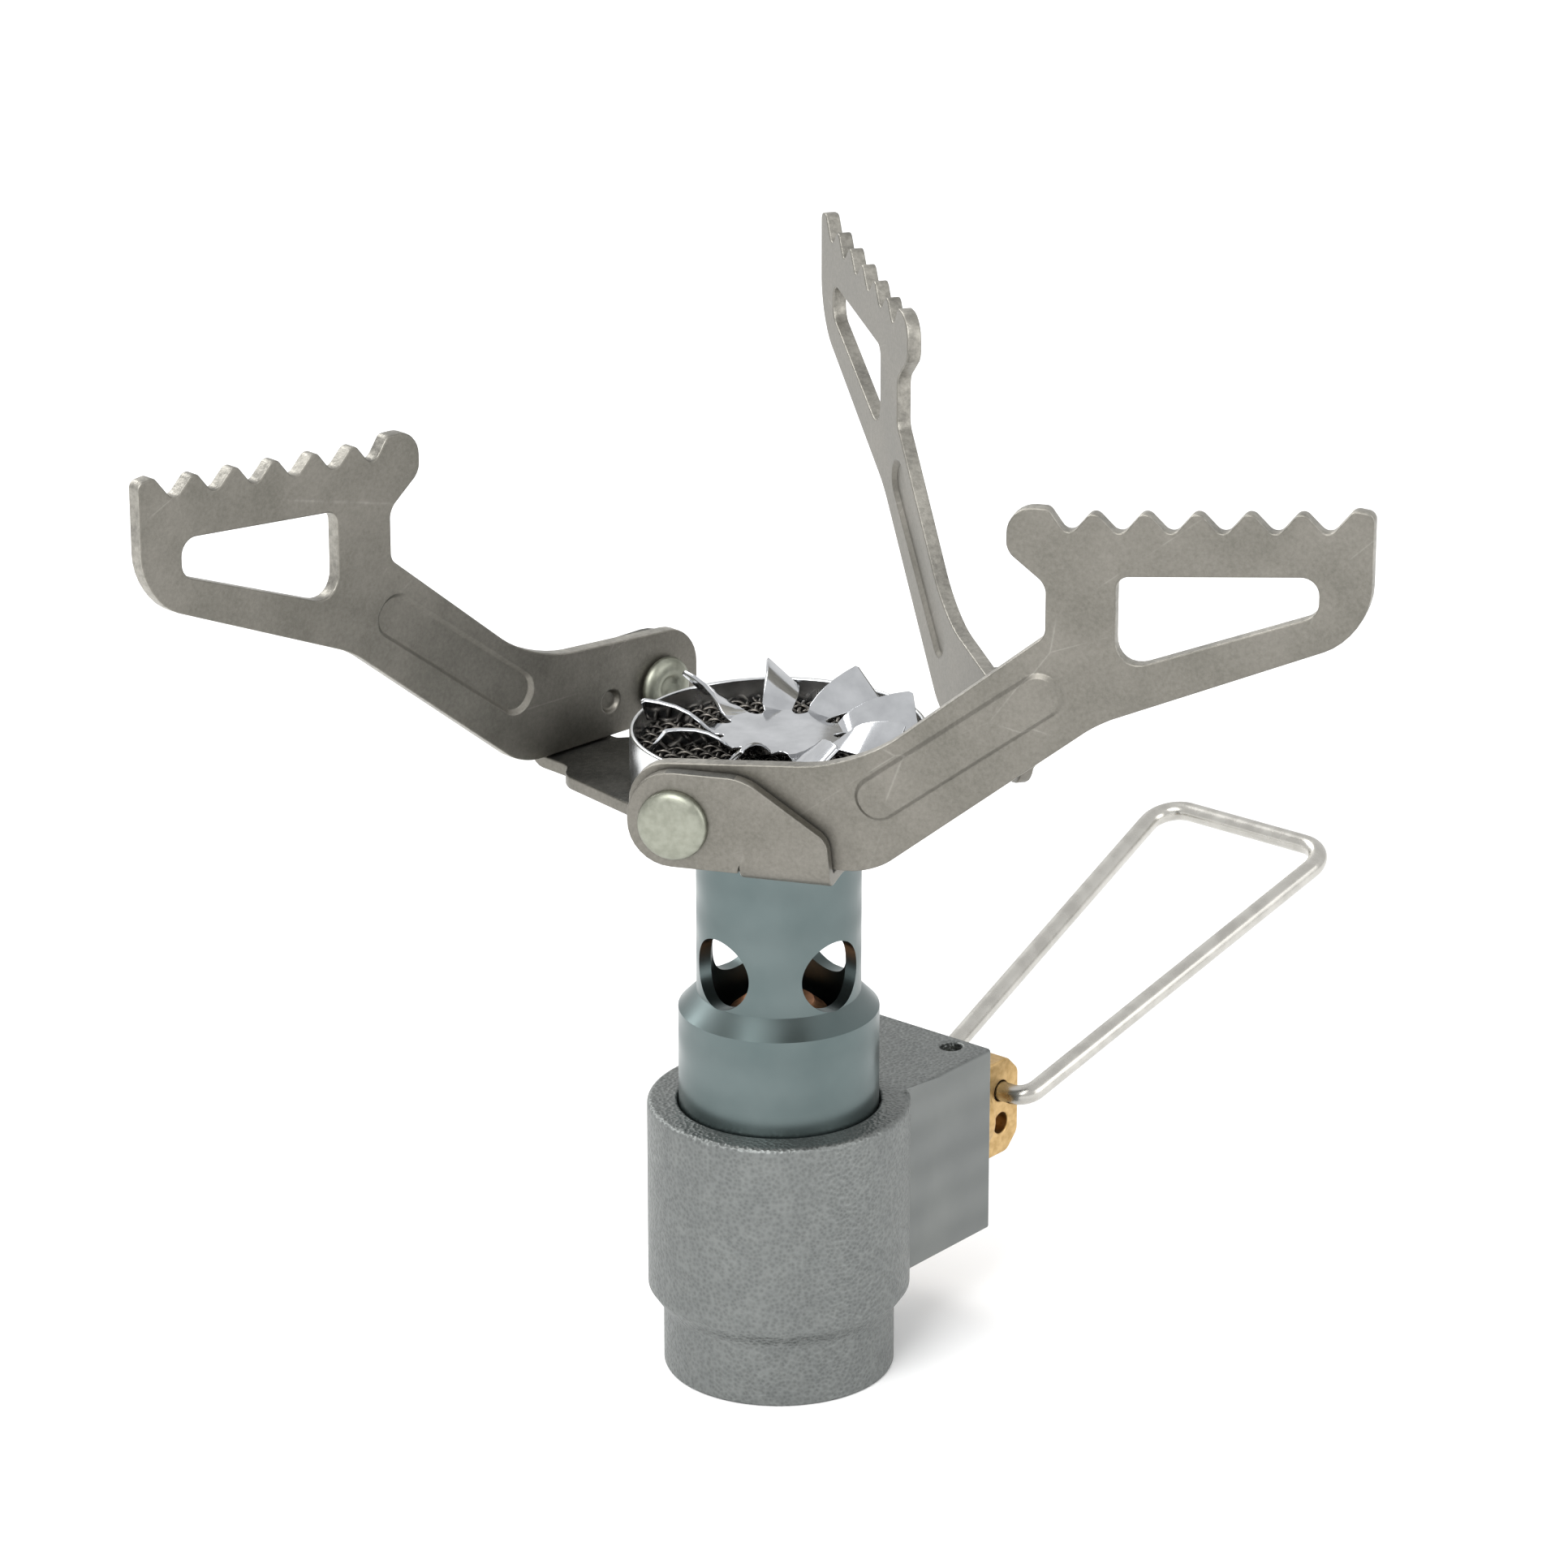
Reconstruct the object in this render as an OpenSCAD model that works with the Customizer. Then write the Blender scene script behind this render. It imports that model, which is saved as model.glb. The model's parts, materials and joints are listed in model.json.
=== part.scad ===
// Folding gas canister stove: a screw-on valve body, an aluminium burner tube,
// a round burner head and three fold-over pot supports.
// Millimetres, +Z up. The origin is the centre of the canister socket's mouth.
// +X runs along the valve spindle, out towards the wire handle.

/* [Valve body] */
// Radius of the round part of the valve body
body_r = 9.75; // [9.2:0.05:10.2]
// Height of the valve body's flat top above the socket's mouth
body_top = 21.2; // [20.6:0.1:22.5]
// Height of the underside of the round part
body_low = 6.5; // [6.2:0.1:7]
// Radius of the narrow skirt round the canister socket
skirt_r = 8.6; // [8.2:0.1:8.9]
// Height at which the skirt starts to widen into the body
skirt_top = 4.8; // [4:0.1:5.5]
// Distance from the stove's axis to the end of the spindle block
block_reach = 17; // [16.6:0.1:18]
// Width of the spindle block
block_w = 13.4; // [12.5:0.1:14]

/* [Canister socket] */
// Radius of the canister thread, 7/16 inch across
thread_r = 5.56; // [5.5:0.01:5.6]
// Length of the canister thread
thread_length = 6; // [5.6:0.1:6.2]
// Depth of the whole socket, with the gasket's groove above the thread
socket_depth = 8.6; // [8.4:0.1:8.8]

/* [Valve spindle] */
// Height of the spindle's axis
spindle_z = 12.8; // [12:0.1:13.6]
// Radius of the spindle where it turns in the block
spindle_r = 3.5; // [3.2:0.05:3.7]
// Pitch of the spindle's thread, which is its travel in one turn
spindle_pitch = 0.5; // [0.4:0.05:0.6]
// Turns from shut to fully open
spindle_turns = 1.5; // [1:0.25:1.5]
// Distance from the stove's axis to the end of the spindle's flat tab
tab_end = 26.3; // [25.5:0.1:27]
// Thickness of the flat tab
tab_t = 4.4; // [4:0.1:4.8]
// Height of the flat tab
tab_h = 7.8; // [7.2:0.1:8.2]
// Distance between the tab's two cross holes
tab_hole_gap = 2.7; // [2.4:0.1:3]

/* [Wire handle] */
// Radius of the handle's wire
wire_r = 0.77; // [0.7:0.01:0.8]
// Length of the handle from its pivot to its outer bar
handle_length = 36.6; // [30:0.5:40]
// Half the handle's width at the pivot
handle_inner_w = 4.5; // [4.2:0.1:5]
// Half the handle's width at the outer bar
handle_outer_w = 8.3; // [7:0.1:9]
// Angle of the handle above level
handle_rise = 17; // [10:1:25]

/* [Burner tube] */
// Outer radius of the tube
tube_r = 6.05; // [5.9:0.05:6.2]
// Thickness of the tube's wall
tube_wall = 1; // [0.8:0.05:1]
// Outer radius of the collar at the tube's foot
collar_r = 7.4; // [7.2:0.05:7.5]
// Height of the collar's upper edge, below its bevel
collar_top = 28.6; // [28:0.1:29]
// Height of the tube's shoulder, which carries the bracket
tube_top = 45; // [44.4:0.1:45.4]
// Radius of the four air holes
air_hole_r = 2.7; // [2.4:0.05:2.8]
// Height of the air holes
air_hole_z = 32.6; // [32.4:0.1:34]

/* [Bracket and pot supports] */
// Thickness of the bracket's sheet
bracket_t = 1; // [0.9:0.05:1.1]
// Distance from the stove's axis to the inner face of a pot support
arm_offset = 15.2; // [15.2:0.1:16.5]
// Thickness of a pot support's sheet
arm_t = 1.1; // [1:0.05:1.15]
// Gap between a pot support and the bracket's ear or the rivet's head
side_gap = 0.2; // [0.15:0.05:0.3]
// Radius of the rivet's shank
rivet_r = 1.5; // [1.3:0.05:1.6]
// Radius of the rivet's head
rivet_head_r = 2.55; // [2.4:0.05:2.7]
// Height of the stamped rib along each strut
rib_h = 0.35; // [0.2:0.05:0.4]

/* [Burner head] */
// Outer radius of the cup
cup_r = 10.8; // [10.4:0.1:11]
// Height of the cup's wall
cup_h = 4.3; // [4:0.1:4.4]
// Number of blades on the flame spreader
blade_count = 9; // [7:1:11]
// Angle of a blade to level
blade_tilt = 50; // [40:1:60]

/* [Hidden] */
$fn = 96;
eps = 0.01;
running_gap = 0.06;    // radial gap of parts that turn in each other
fit_gap = 0.04;        // radial gap of parts that are screwed or pressed together
arm_azimuths = [-66, 54, 174];
air_hole_azimuth = -8;
rivet_u = -2.8;
rivet_z = tube_top + 3.9;
ear_in = arm_offset + arm_t + side_gap;
ear_out = ear_in + bracket_t;
sheet_top = tube_top + bracket_t;
spindle_travel = spindle_pitch * spindle_turns;
handle_x = tab_end - 2.1;
handle_z = spindle_z + tab_hole_gap / 2;
seat_x = 1.3;
pin_x = block_reach - 1.4;
pin_r = 0.8;
pin_y = -(spindle_r + pin_r - 0.4);
collar_gap = 0.12;
spigot_r = 6.5;
spigot_low = 17;
collar_seat = body_top - 0.8;
tube_in = tube_r - tube_wall;
cup_floor = sheet_top;
cup_t = 0.35;
hub_z = 49.9;
hub_r = 4.6;
blade_end = 10.1;
blade_t = 0.35;
seal_r = 0.45;
seal_starts = [11, 12.4];   // where the two seal grooves begin along the spindle
seal_groove_w = 1.15;
seal_groove_d = 0.9;
gasket_t = 1.2;
groove_r = thread_r + 0.35;
opener_reach = 2.3;    // from the top of the socket down to the opener pin's tip
tube_neck_r = tube_in + 0.45;
mesh_low = 48.2;
mesh_t = 0.7;
bend_swell = 0.02;     // a bend is this much thicker than the straight wire
bend_lap = 0.05;       // and each straight runs this far into it

// ---- Outlines with rounded corners -------------------------------------------------

function unit(v) = v / norm(v);

// Points of the arc that rounds the corner at b, between the edges from a and to c.
function corner_arc(a, b, c, r, steps = 7) =
    let (p = unit(a - b), q = unit(c - b),
         half = acos(max(-1, min(1, p * q))) / 2,
         centre = b + unit(p + q) * r / sin(half),
         start = b + p * r / tan(half) - centre,
         turn = (p[0] * q[1] - p[1] * q[0] > 0 ? -1 : 1) * (180 - 2 * half))
    [for (i = [0 : steps])
        let (t = turn * i / steps)
        centre + [start[0] * cos(t) - start[1] * sin(t), start[0] * sin(t) + start[1] * cos(t)]];

// Each corner is [across, up, radius]; a radius of 0 leaves it sharp.
function rounded(corners) =
    let (n = len(corners), xy = [for (c = corners) [c[0], c[1]]])
    [for (i = [0 : n - 1])
        each corners[i][2] == 0 ? [xy[i]]
            : corner_arc(xy[(i + n - 1) % n], xy[i], xy[(i + 1) % n], corners[i][2])];

// A flat shape in a pot support's plane: drawn across and up, then stood on edge so that
// its inner face lies `offset` from the stove's axis.
module on_edge(azimuth, offset, t) {
    rotate([0, 0, azimuth])
        translate([0, -offset, 0])
            rotate([90, 0, 0])
                linear_extrude(t) children();
}

// A round bar square to a pot support's plane, centred on the rivet.
module rivet_bar(azimuth, from, to, r) {
    rotate([0, 0, azimuth])
        translate([rivet_u, -from, rivet_z])
            rotate([90, 0, 0])
                cylinder(r = r, h = to - from);
}

module ring(r_out, r_in, low, high) {
    translate([0, 0, low])
        difference() {
            cylinder(r = r_out, h = high - low);
            translate([0, 0, -eps]) cylinder(r = r_in, h = high - low + 2 * eps);
        }
}

module along_x(x) {
    translate([x, 0, spindle_z]) rotate([0, 90, 0]) children();
}

// ---- Valve body --------------------------------------------------------------------

module body_shell() {
    rotate_extrude()
        polygon(concat([[0, 0]], [[skirt_r, 0], [skirt_r, skirt_top], [body_r, body_low]],
            [for (a = [0 : 15 : 90]) [body_r - 0.4 + 0.4 * cos(a), body_top - 0.4 + 0.4 * sin(a)]],
            [[0, body_top]]));
    translate([0, -block_w / 2, body_low])
        cube([block_reach, block_w, body_top - body_low]);
}

module valve_body() {
    color("dimgray")
        difference() {
            body_shell();
            // canister socket, with the gasket's groove and the filter's pocket above it
            translate([0, 0, -eps]) cylinder(r = thread_r, h = thread_length + 2 * eps);
            translate([0, 0, thread_length]) cylinder(r = groove_r, h = socket_depth - thread_length);
            translate([0, 0, socket_depth - eps]) cylinder(r = 1.2, h = 1.2);
            translate([2.6, 0, socket_depth - eps]) cylinder(r = 0.8, h = spindle_z - socket_depth);
            // seat and passage up to the jet
            translate([0, 0, spindle_z - 0.6]) cylinder(r = 0.6, h = 4);
            along_x(-0.6) cylinder(r = 0.6, h = 3);
            // stepped spindle bore
            along_x(seat_x) cylinder(r = 1.7, h = 4.7);
            along_x(6) cylinder(r = 2.6, h = 4 + eps);
            along_x(10) cylinder(r = spindle_r + running_gap, h = block_reach);
            // jet thread, collar thread and the recess round the collar
            translate([0, 0, 16]) cylinder(r = 2.4 + fit_gap, h = 10);
            translate([0, 0, spigot_low]) cylinder(r = spigot_r + fit_gap, h = 10);
            translate([0, 0, collar_seat]) cylinder(r = collar_r + collar_gap, h = 10);
            // cross hole for the retaining pin
            translate([pin_x, pin_y, spindle_z - 4.5]) cylinder(r = pin_r + fit_gap, h = 20);
        }
}

// Pin that pushes the canister's own valve open, screwed into the middle of the socket.
module opener_pin() {
    color("goldenrod") {
        translate([0, 0, socket_depth - opener_reach]) cylinder(r = 0.9, h = opener_reach);
        translate([0, 0, socket_depth - 1]) cylinder(r = 1.5, h = 1);
        translate([0, 0, socket_depth - eps]) cylinder(r = 1.2 - fit_gap, h = 1.2);
    }
}

// Flat rubber ring at the top of the socket.
module canister_gasket() {
    color("black") ring(groove_r - fit_gap, 3.7, socket_depth - gasket_t, socket_depth);
}

// Gauze plug that keeps grit out of the valve.
module inlet_filter() {
    color("silver") translate([2.6, 0, socket_depth + 0.4]) cylinder(r = 0.78, h = 1.4);
}

module retaining_pin() {
    color("lightgray")
        translate([pin_x, pin_y, spindle_z - 4.4])
            cylinder(r = pin_r, h = body_top - 0.9 - spindle_z + 4.4);
}

// ---- Jet ---------------------------------------------------------------------------

module jet() {
    jet_top = 29;
    hex_r = 3.7;
    color("peru")
        difference() {
            union() {
                translate([0, 0, 16.1]) cylinder(r = 2.4, h = 1.5);
                translate([0, 0, spigot_low]) cylinder(r = hex_r, h = 7.6, $fn = 6);
                translate([0, 0, 24.5]) cylinder(r = 3, h = 3);
                translate([0, 0, 26.5]) cylinder(r = 3.6, h = jet_top - 27.3);
                translate([0, 0, jet_top - 0.8]) cylinder(r1 = 3.6, r2 = 2.6, h = 0.8);
            }
            translate([0, 0, 16]) cylinder(r = 1, h = jet_top - 17);
            translate([0, 0, 20]) cylinder(r = 0.2, h = 20);
        }
}

// ---- Burner tube -------------------------------------------------------------------

module burner_tube() {
    bevel = collar_r - tube_r;
    lip_low = cup_floor + cup_t;
    color("slategray")
        difference() {
            union() {
                translate([0, 0, spigot_low + 0.2]) cylinder(r = spigot_r, h = 6);
                translate([0, 0, collar_seat]) cylinder(r = collar_r, h = collar_top - collar_seat);
                translate([0, 0, collar_top]) cylinder(r1 = collar_r, r2 = tube_r, h = bevel);
                translate([0, 0, collar_top]) cylinder(r = tube_r, h = tube_top - collar_top);
                // thin neck through the bracket and cup, rolled over on top of them
                translate([0, 0, tube_top - eps]) cylinder(r = tube_neck_r, h = 2);
                translate([0, 0, lip_low]) cylinder(r = tube_in + 1.1, h = 0.45);
            }
            translate([0, 0, spigot_low - 1]) cylinder(r = tube_in, h = 60);
            translate([0, 0, lip_low + 0.45]) cylinder(r = 20, h = 10);
            for (i = [0 : 3])
                translate([0, 0, air_hole_z])
                    rotate([0, 90, air_hole_azimuth + 90 * i])
                        cylinder(r = air_hole_r, h = 20);
        }
}

// ---- Bracket -----------------------------------------------------------------------

strip_from = 1.9;      // the strip that joins the floor to an ear, measured along the ear
strip_to = 8.5;
floor_turn = -11;      // the floor's triangle is set this far round from +X

// Flat outline of the bracket's floor: a triangle set round the tube, with a strip out
// to each ear.
module bracket_floor() {
    inradius = 11.3;
    linear_extrude(bracket_t)
        difference() {
            union() {
                intersection() {
                    rotate([0, 0, floor_turn]) circle(r = 2 * inradius, $fn = 3);
                    circle(r = 15.6);
                }
                for (a = arm_azimuths)
                    rotate([0, 0, a])
                        translate([strip_from, -14]) square([strip_to - strip_from, 8]);
            }
            circle(r = tube_neck_r + fit_gap);
        }
}

// Upright ear that holds one pot support, with the bend that joins it to its strip.
module bracket_ear(azimuth) {
    ear_low = tube_top + 0.65;
    ear_top = rivet_z + 3.85;
    on_edge(azimuth, ear_in, bracket_t)
        polygon(rounded([[rivet_u - 3.4, ear_low, 3.3], [strip_from + 0.5, ear_low, 0],
            [strip_from + 0.5, sheet_top + 0.5, 0], [strip_to, sheet_top + 0.5, 0],
            [strip_to - 0.2, rivet_z - 0.2, 1.6], [rivet_u + 5, ear_top, 3.5],
            [rivet_u - 3.4, ear_top, 3.5]]));
    rotate([0, 0, azimuth])
        translate([strip_to, 0, 0])
            rotate([90, 0, -90])
                linear_extrude(strip_to - strip_from)
                    polygon(rounded([[12, tube_top, 0], [ear_out, tube_top, bracket_t],
                        [ear_out, sheet_top + 2, 0], [ear_in, sheet_top + 2, 0],
                        [ear_in, sheet_top, 0], [12, sheet_top, 0]]));
}

module support_bracket() {
    color("darkgray")
        difference() {
            union() {
                translate([0, 0, tube_top]) bracket_floor();
                for (a = arm_azimuths) bracket_ear(a);
            }
            for (a = arm_azimuths)
                rivet_bar(a, ear_in - 1, ear_out + 1, rivet_r + fit_gap);
        }
}

// ---- Pot supports ------------------------------------------------------------------

tooth_count = 6;
tooth_pitch = 3.56;
tooth_rise = 0.3;      // how far each tooth stands above the one before it
tooth_h = 2.1;
first_valley = [24.8, rivet_z + 23.12];

// Crest and valley of each tooth, from the outer end inwards.
function teeth() = [for (k = [tooth_count - 1 : -1 : 0])
    let (v = first_valley + k * [tooth_pitch, tooth_rise])
    each [[v[0] + 1.7, v[1] + tooth_h, 0.6], [v[0], v[1], 0.7]]];

module arm_outline() {
    low = rivet_z - 2.7;
    head_out = 45.7;
    polygon(rounded(concat(
        [[rivet_u - 3.6, low, 2.6], [11.2, low, 5], [27.1, rivet_z + 9.9, 9],
         [head_out, rivet_z + 17.9, 5.2], [head_out, rivet_z + 26.55, 0.6]],
        teeth(),
        [[23.4, rivet_z + 25.05, 0.55], [20.5, rivet_z + 25, 1.95], [20.5, rivet_z + 21.8, 1.3],
         [23.3, rivet_z + 19.6, 1.3], [23.3, rivet_z + 15.9, 1], [10, rivet_z + 5.05, 12],
         [rivet_u - 3.6, rivet_z + 3.9, 3.1]])));
}

module arm_window() {
    polygon(rounded([[28.2, rivet_z + 13.7, 1.7], [42.1, rivet_z + 19.1, 1.2],
        [42.1, rivet_z + 21.8, 1.2], [28.2, rivet_z + 20.6, 0.9]]));
}

// Long round-ended strip along the strut that the sheet is pressed out to.
module rib_outline(half_w) {
    from = [10.3, rivet_z + 2];
    span = 17.6;
    translate(from)
        rotate(37)
            polygon(rounded([[0, -half_w, half_w - eps], [span, -half_w, half_w - eps],
                [span, half_w, half_w - eps], [0, half_w, half_w - eps]]));
}

module pot_arm(azimuth) {
    color("gray")
        difference() {
            union() {
                on_edge(azimuth, arm_offset, arm_t)
                    difference() {
                        arm_outline();
                        arm_window();
                    }
                on_edge(azimuth, arm_offset + arm_t - eps, rib_h + eps) rib_outline(1.75);
            }
            on_edge(azimuth, arm_offset - 1, 1 + rib_h) rib_outline(1.2);
            rivet_bar(azimuth, arm_offset - 2, arm_offset + 4, rivet_r + running_gap);
            // shallow dimple pressed into the inner face beside the pivot
            rotate([0, 0, azimuth])
                translate([2.4, -arm_offset + 1, rivet_z])
                    rotate([90, 0, 0])
                        cylinder(r = 0.9, h = 1.5);
        }
}

module pot_arm_1() { pot_arm(arm_azimuths[0]); }
module pot_arm_2() { pot_arm(arm_azimuths[1]); }
module pot_arm_3() { pot_arm(arm_azimuths[2]); }

// Rivet through an ear and its pot support, with a head at each end.
module arm_rivet(azimuth) {
    head_t = 0.8;
    inner_head = arm_offset - side_gap;
    color("lightslategray") {
        rivet_bar(azimuth, inner_head - eps, ear_out + eps, rivet_r);
        rivet_bar(azimuth, ear_out, ear_out + head_t, rivet_head_r);
        rivet_bar(azimuth, inner_head - head_t, inner_head, rivet_head_r - 0.3);
    }
}

module arm_rivet_1() { arm_rivet(arm_azimuths[0]); }
module arm_rivet_2() { arm_rivet(arm_azimuths[1]); }
module arm_rivet_3() { arm_rivet(arm_azimuths[2]); }

// ---- Burner head -------------------------------------------------------------------

module burner_cup() {
    color("gainsboro")
        difference() {
            translate([0, 0, cup_floor]) cylinder(r = cup_r, h = cup_h);
            translate([0, 0, cup_floor + cup_t]) cylinder(r = cup_r - cup_t, h = cup_h);
            translate([0, 0, cup_floor - 1]) cylinder(r = tube_neck_r + fit_gap, h = 3);
        }
}

module burner_mesh() {
    color("black") translate([0, 0, mesh_low]) cylinder(r = cup_r - cup_t - fit_gap, h = mesh_t);
}

// Polished hub plate with a ring of tilted blades that stand over the cup's rim.
module flame_spreader() {
    blade_w = 3.6;
    foot_low = mesh_low + mesh_t;
    color("white") {
        translate([0, 0, hub_z]) cylinder(r = hub_r, h = blade_t);
        for (i = [0 : blade_count - 1])
            rotate([0, 0, 360 / blade_count * i])
                translate([hub_r - 0.4, 0, hub_z + blade_t / 2])
                    rotate([blade_tilt, 0, 0])
                        translate([0, -0.4, -blade_t / 2])
                            cube([blade_end - hub_r + 0.4, blade_w, blade_t]);
        // three feet that stand on the mesh
        for (i = [0 : 2])
            rotate([0, 0, 120 * i])
                translate([2.6, 0, foot_low]) cylinder(r = 0.4, h = hub_z - foot_low + eps);
    }
}

// ---- Valve spindle and handle ------------------------------------------------------

module valve_spindle() {
    needle_x = seat_x + 0.15;
    groove_from = pin_x - pin_r - spindle_travel - 0.2;
    groove_to = pin_x + pin_r + 0.2;
    neck_to = tab_end - 5.4;
    color("darkgoldenrod")
        difference() {
            union() {
                along_x(needle_x) cylinder(r1 = 0.3, r2 = 1.3, h = 2);
                along_x(needle_x + 2 - eps) cylinder(r = 1.3, h = 3);
                along_x(6.2) cylinder(r = 2.6 - running_gap, h = 4);
                along_x(10.2) cylinder(r = spindle_r, h = neck_to - 10.2 + 1);
                intersection() {
                    translate([neck_to, -tab_t / 2, spindle_z - tab_h / 2])
                        cube([tab_end - neck_to, tab_t, tab_h]);
                    translate([neck_to - 1, 0, spindle_z])
                        rotate([90, 0, 0])
                            linear_extrude(tab_t + 1, center = true)
                                polygon(rounded([[0, -tab_h / 2, 0], [5.1, -tab_h / 2, 1],
                                    [6.4, -tab_h / 2 + 1.3, 1], [6.4, tab_h / 2 - 1.3, 1],
                                    [5.1, tab_h / 2, 1], [0, tab_h / 2, 0]]));
                }
            }
            // grooves for the two seals and for the retaining pin
            for (x = seal_starts)
                along_x(x)
                    rotate_extrude()
                        translate([spindle_r - seal_groove_d, 0]) square([2, seal_groove_w]);
            along_x(groove_from)
                rotate_extrude()
                    translate([spindle_r - 0.5, 0]) square([2, groove_to - groove_from]);
            for (s = [-1, 1])
                translate([handle_x, 5, spindle_z + s * tab_hole_gap / 2])
                    rotate([90, 0, 0])
                        cylinder(r = wire_r + running_gap, h = 10);
        }
}

module spindle_seal(x) {
    clear = 0.03;
    color("black")
        along_x(x + seal_groove_w / 2)
            rotate_extrude()
                translate([spindle_r - seal_groove_d + seal_r + clear, 0])
                    circle(r = seal_r, $fn = 32);
}

module spindle_seal_inner() { spindle_seal(seal_starts[0]); }
module spindle_seal_outer() { spindle_seal(seal_starts[1]); }

// Round wire along a flat path, with a smooth bend at each inner point.
module bent_wire(path, bends) {
    n = len(path);
    cut = [for (i = [0 : n - 1]) i == 0 || i == n - 1 ? 0
        : let (p = unit(path[i - 1] - path[i]), q = unit(path[i + 1] - path[i]))
            bends[i] / tan(acos(p * q) / 2)];
    for (i = [0 : n - 2]) {
        run = path[i + 1] - path[i];
        lead = i == 0 ? 0 : bend_lap;
        tail = i == n - 2 ? 0 : bend_lap;
        length = norm(run) - cut[i] - cut[i + 1] + lead + tail;
        translate(path[i] + unit(run) * (cut[i] - lead))
            rotate([0, 0, atan2(run[1], run[0])])
                rotate([0, 90, 0])
                    cylinder(r = wire_r, h = length);
    }
    for (i = [1 : n - 2]) {
        p = unit(path[i - 1] - path[i]);
        q = unit(path[i + 1] - path[i]);
        half = acos(p * q) / 2;
        centre = path[i] + unit(p + q) * bends[i] / sin(half);
        spoke = path[i] + p * cut[i] - centre;
        sweep = (p[0] * q[1] - p[1] * q[0] > 0 ? -1 : 1) * (180 - 2 * half);
        translate(centre)
            rotate([0, 0, atan2(spoke[1], spoke[0]) + min(0, sweep)])
                rotate_extrude(angle = abs(sweep))
                    translate([bends[i], 0]) circle(r = wire_r + bend_swell);
    }
}

module wire_handle() {
    end_gap = 0.3;
    color("silver")
        translate([handle_x, 0, handle_z])
            rotate([0, -handle_rise, 0])
                bent_wire([[0, -end_gap], [0, -handle_inner_w], [handle_length, -handle_outer_w],
                    [handle_length, handle_outer_w], [0, handle_inner_w], [0, end_gap]],
                    [0, 1.5, 2.4, 2.4, 1.5, 0]);
}

valve_body();
opener_pin();
canister_gasket();
inlet_filter();
jet();
burner_tube();
support_bracket();
burner_cup();
burner_mesh();
flame_spreader();
pot_arm_1();
pot_arm_2();
pot_arm_3();
arm_rivet_1();
arm_rivet_2();
arm_rivet_3();
valve_spindle();
spindle_seal_inner();
spindle_seal_outer();
retaining_pin();
wire_handle();
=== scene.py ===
# %% [markdown]
# # A folding canister stove
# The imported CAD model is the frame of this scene. It holds every size, pivot and body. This
# lesson keeps that frame fixed and gives each piece its real surface: new meshes where the
# real piece was pressed, turned, woven or bent, and a procedural finish on everything.

# %% Frame
import json
import math

import bmesh
import bpy
from mathutils import Matrix, Vector


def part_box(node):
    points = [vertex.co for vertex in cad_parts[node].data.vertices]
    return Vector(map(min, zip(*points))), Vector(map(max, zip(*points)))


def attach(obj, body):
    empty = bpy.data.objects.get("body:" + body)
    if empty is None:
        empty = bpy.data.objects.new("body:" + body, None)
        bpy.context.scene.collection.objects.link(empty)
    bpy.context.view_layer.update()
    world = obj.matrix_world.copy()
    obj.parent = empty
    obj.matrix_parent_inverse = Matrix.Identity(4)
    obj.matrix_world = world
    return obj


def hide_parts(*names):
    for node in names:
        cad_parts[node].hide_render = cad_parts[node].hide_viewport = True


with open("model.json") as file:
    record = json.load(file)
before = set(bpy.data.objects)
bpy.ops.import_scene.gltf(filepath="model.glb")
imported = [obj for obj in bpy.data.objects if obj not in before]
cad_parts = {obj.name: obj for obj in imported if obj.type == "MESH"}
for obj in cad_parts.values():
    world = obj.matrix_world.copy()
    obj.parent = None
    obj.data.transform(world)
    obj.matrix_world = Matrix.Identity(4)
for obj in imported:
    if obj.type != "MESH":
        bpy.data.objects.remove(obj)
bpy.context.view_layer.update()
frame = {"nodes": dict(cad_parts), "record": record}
mm = 0.001
joints = {joint["name"]: joint for joint in frame["record"]["behaviour"]["joints"]}

# %% [markdown]
# ## Studio
# The stove stands on a pale sweep under a broad, even light, as in a catalogue picture.
# A grey metal shows what surrounds it, so the surroundings are the main light: a white world,
# one large soft lamp from the left for the shapes, a weaker one to fill the front, and one
# behind for the rims.
# A long lens far away keeps upright edges nearly parallel.

# %% Camera
camera_data = bpy.data.cameras.new("camera")
camera_data.sensor_width = 36
camera_data.lens = 142.2
camera = bpy.data.objects.new("camera", camera_data)
camera.location = (-0.3236, -0.2673, 0.2040)
sight = Vector((0.7220, 0.5953, -0.3526))
camera.rotation_euler = sight.to_track_quat("-Z", "Y").to_euler()
bpy.context.collection.objects.link(camera)
bpy.context.scene.camera = camera
print("camera distance in mm", round(camera.location.length / mm))

# %% Lamps and world
def lamp(name, place, size, power):
    """A square soft lamp that faces the middle of the stove."""
    data = bpy.data.lights.new(name, "AREA")
    data.size = size
    data.energy = power
    item = bpy.data.objects.new(name, data)
    item.location = place
    middle = Vector((0, 0, 0.035))
    item.rotation_euler = (middle - Vector(place)).to_track_quat("-Z", "Y").to_euler()
    bpy.context.collection.objects.link(item)


lamp("key_lamp", (-0.45, -0.10, 0.45), 0.35, 3.0)
lamp("fill_lamp", (0.10, -0.60, 0.25), 0.40, 1.2)
lamp("rim_lamp", (0.05, 0.55, 0.45), 0.30, 2.0)

world = bpy.data.worlds.new("white_room")
world.use_nodes = True
world.node_tree.nodes["Background"].inputs["Color"].default_value = (1, 1, 1, 1)
world.node_tree.nodes["Background"].inputs["Strength"].default_value = 0.92
bpy.context.scene.world = world
bpy.context.scene.view_settings.view_transform = "Standard"

# %% [markdown]
# ## Materials
# A finish is a metal and the process that left its surface. Each one is built from nodes on
# Object coordinates, so grain keeps its real size in millimetres on every piece.
# Two helpers are enough: one turns a hex colour to linear light, one adds a node with its
# settings and links.

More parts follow.
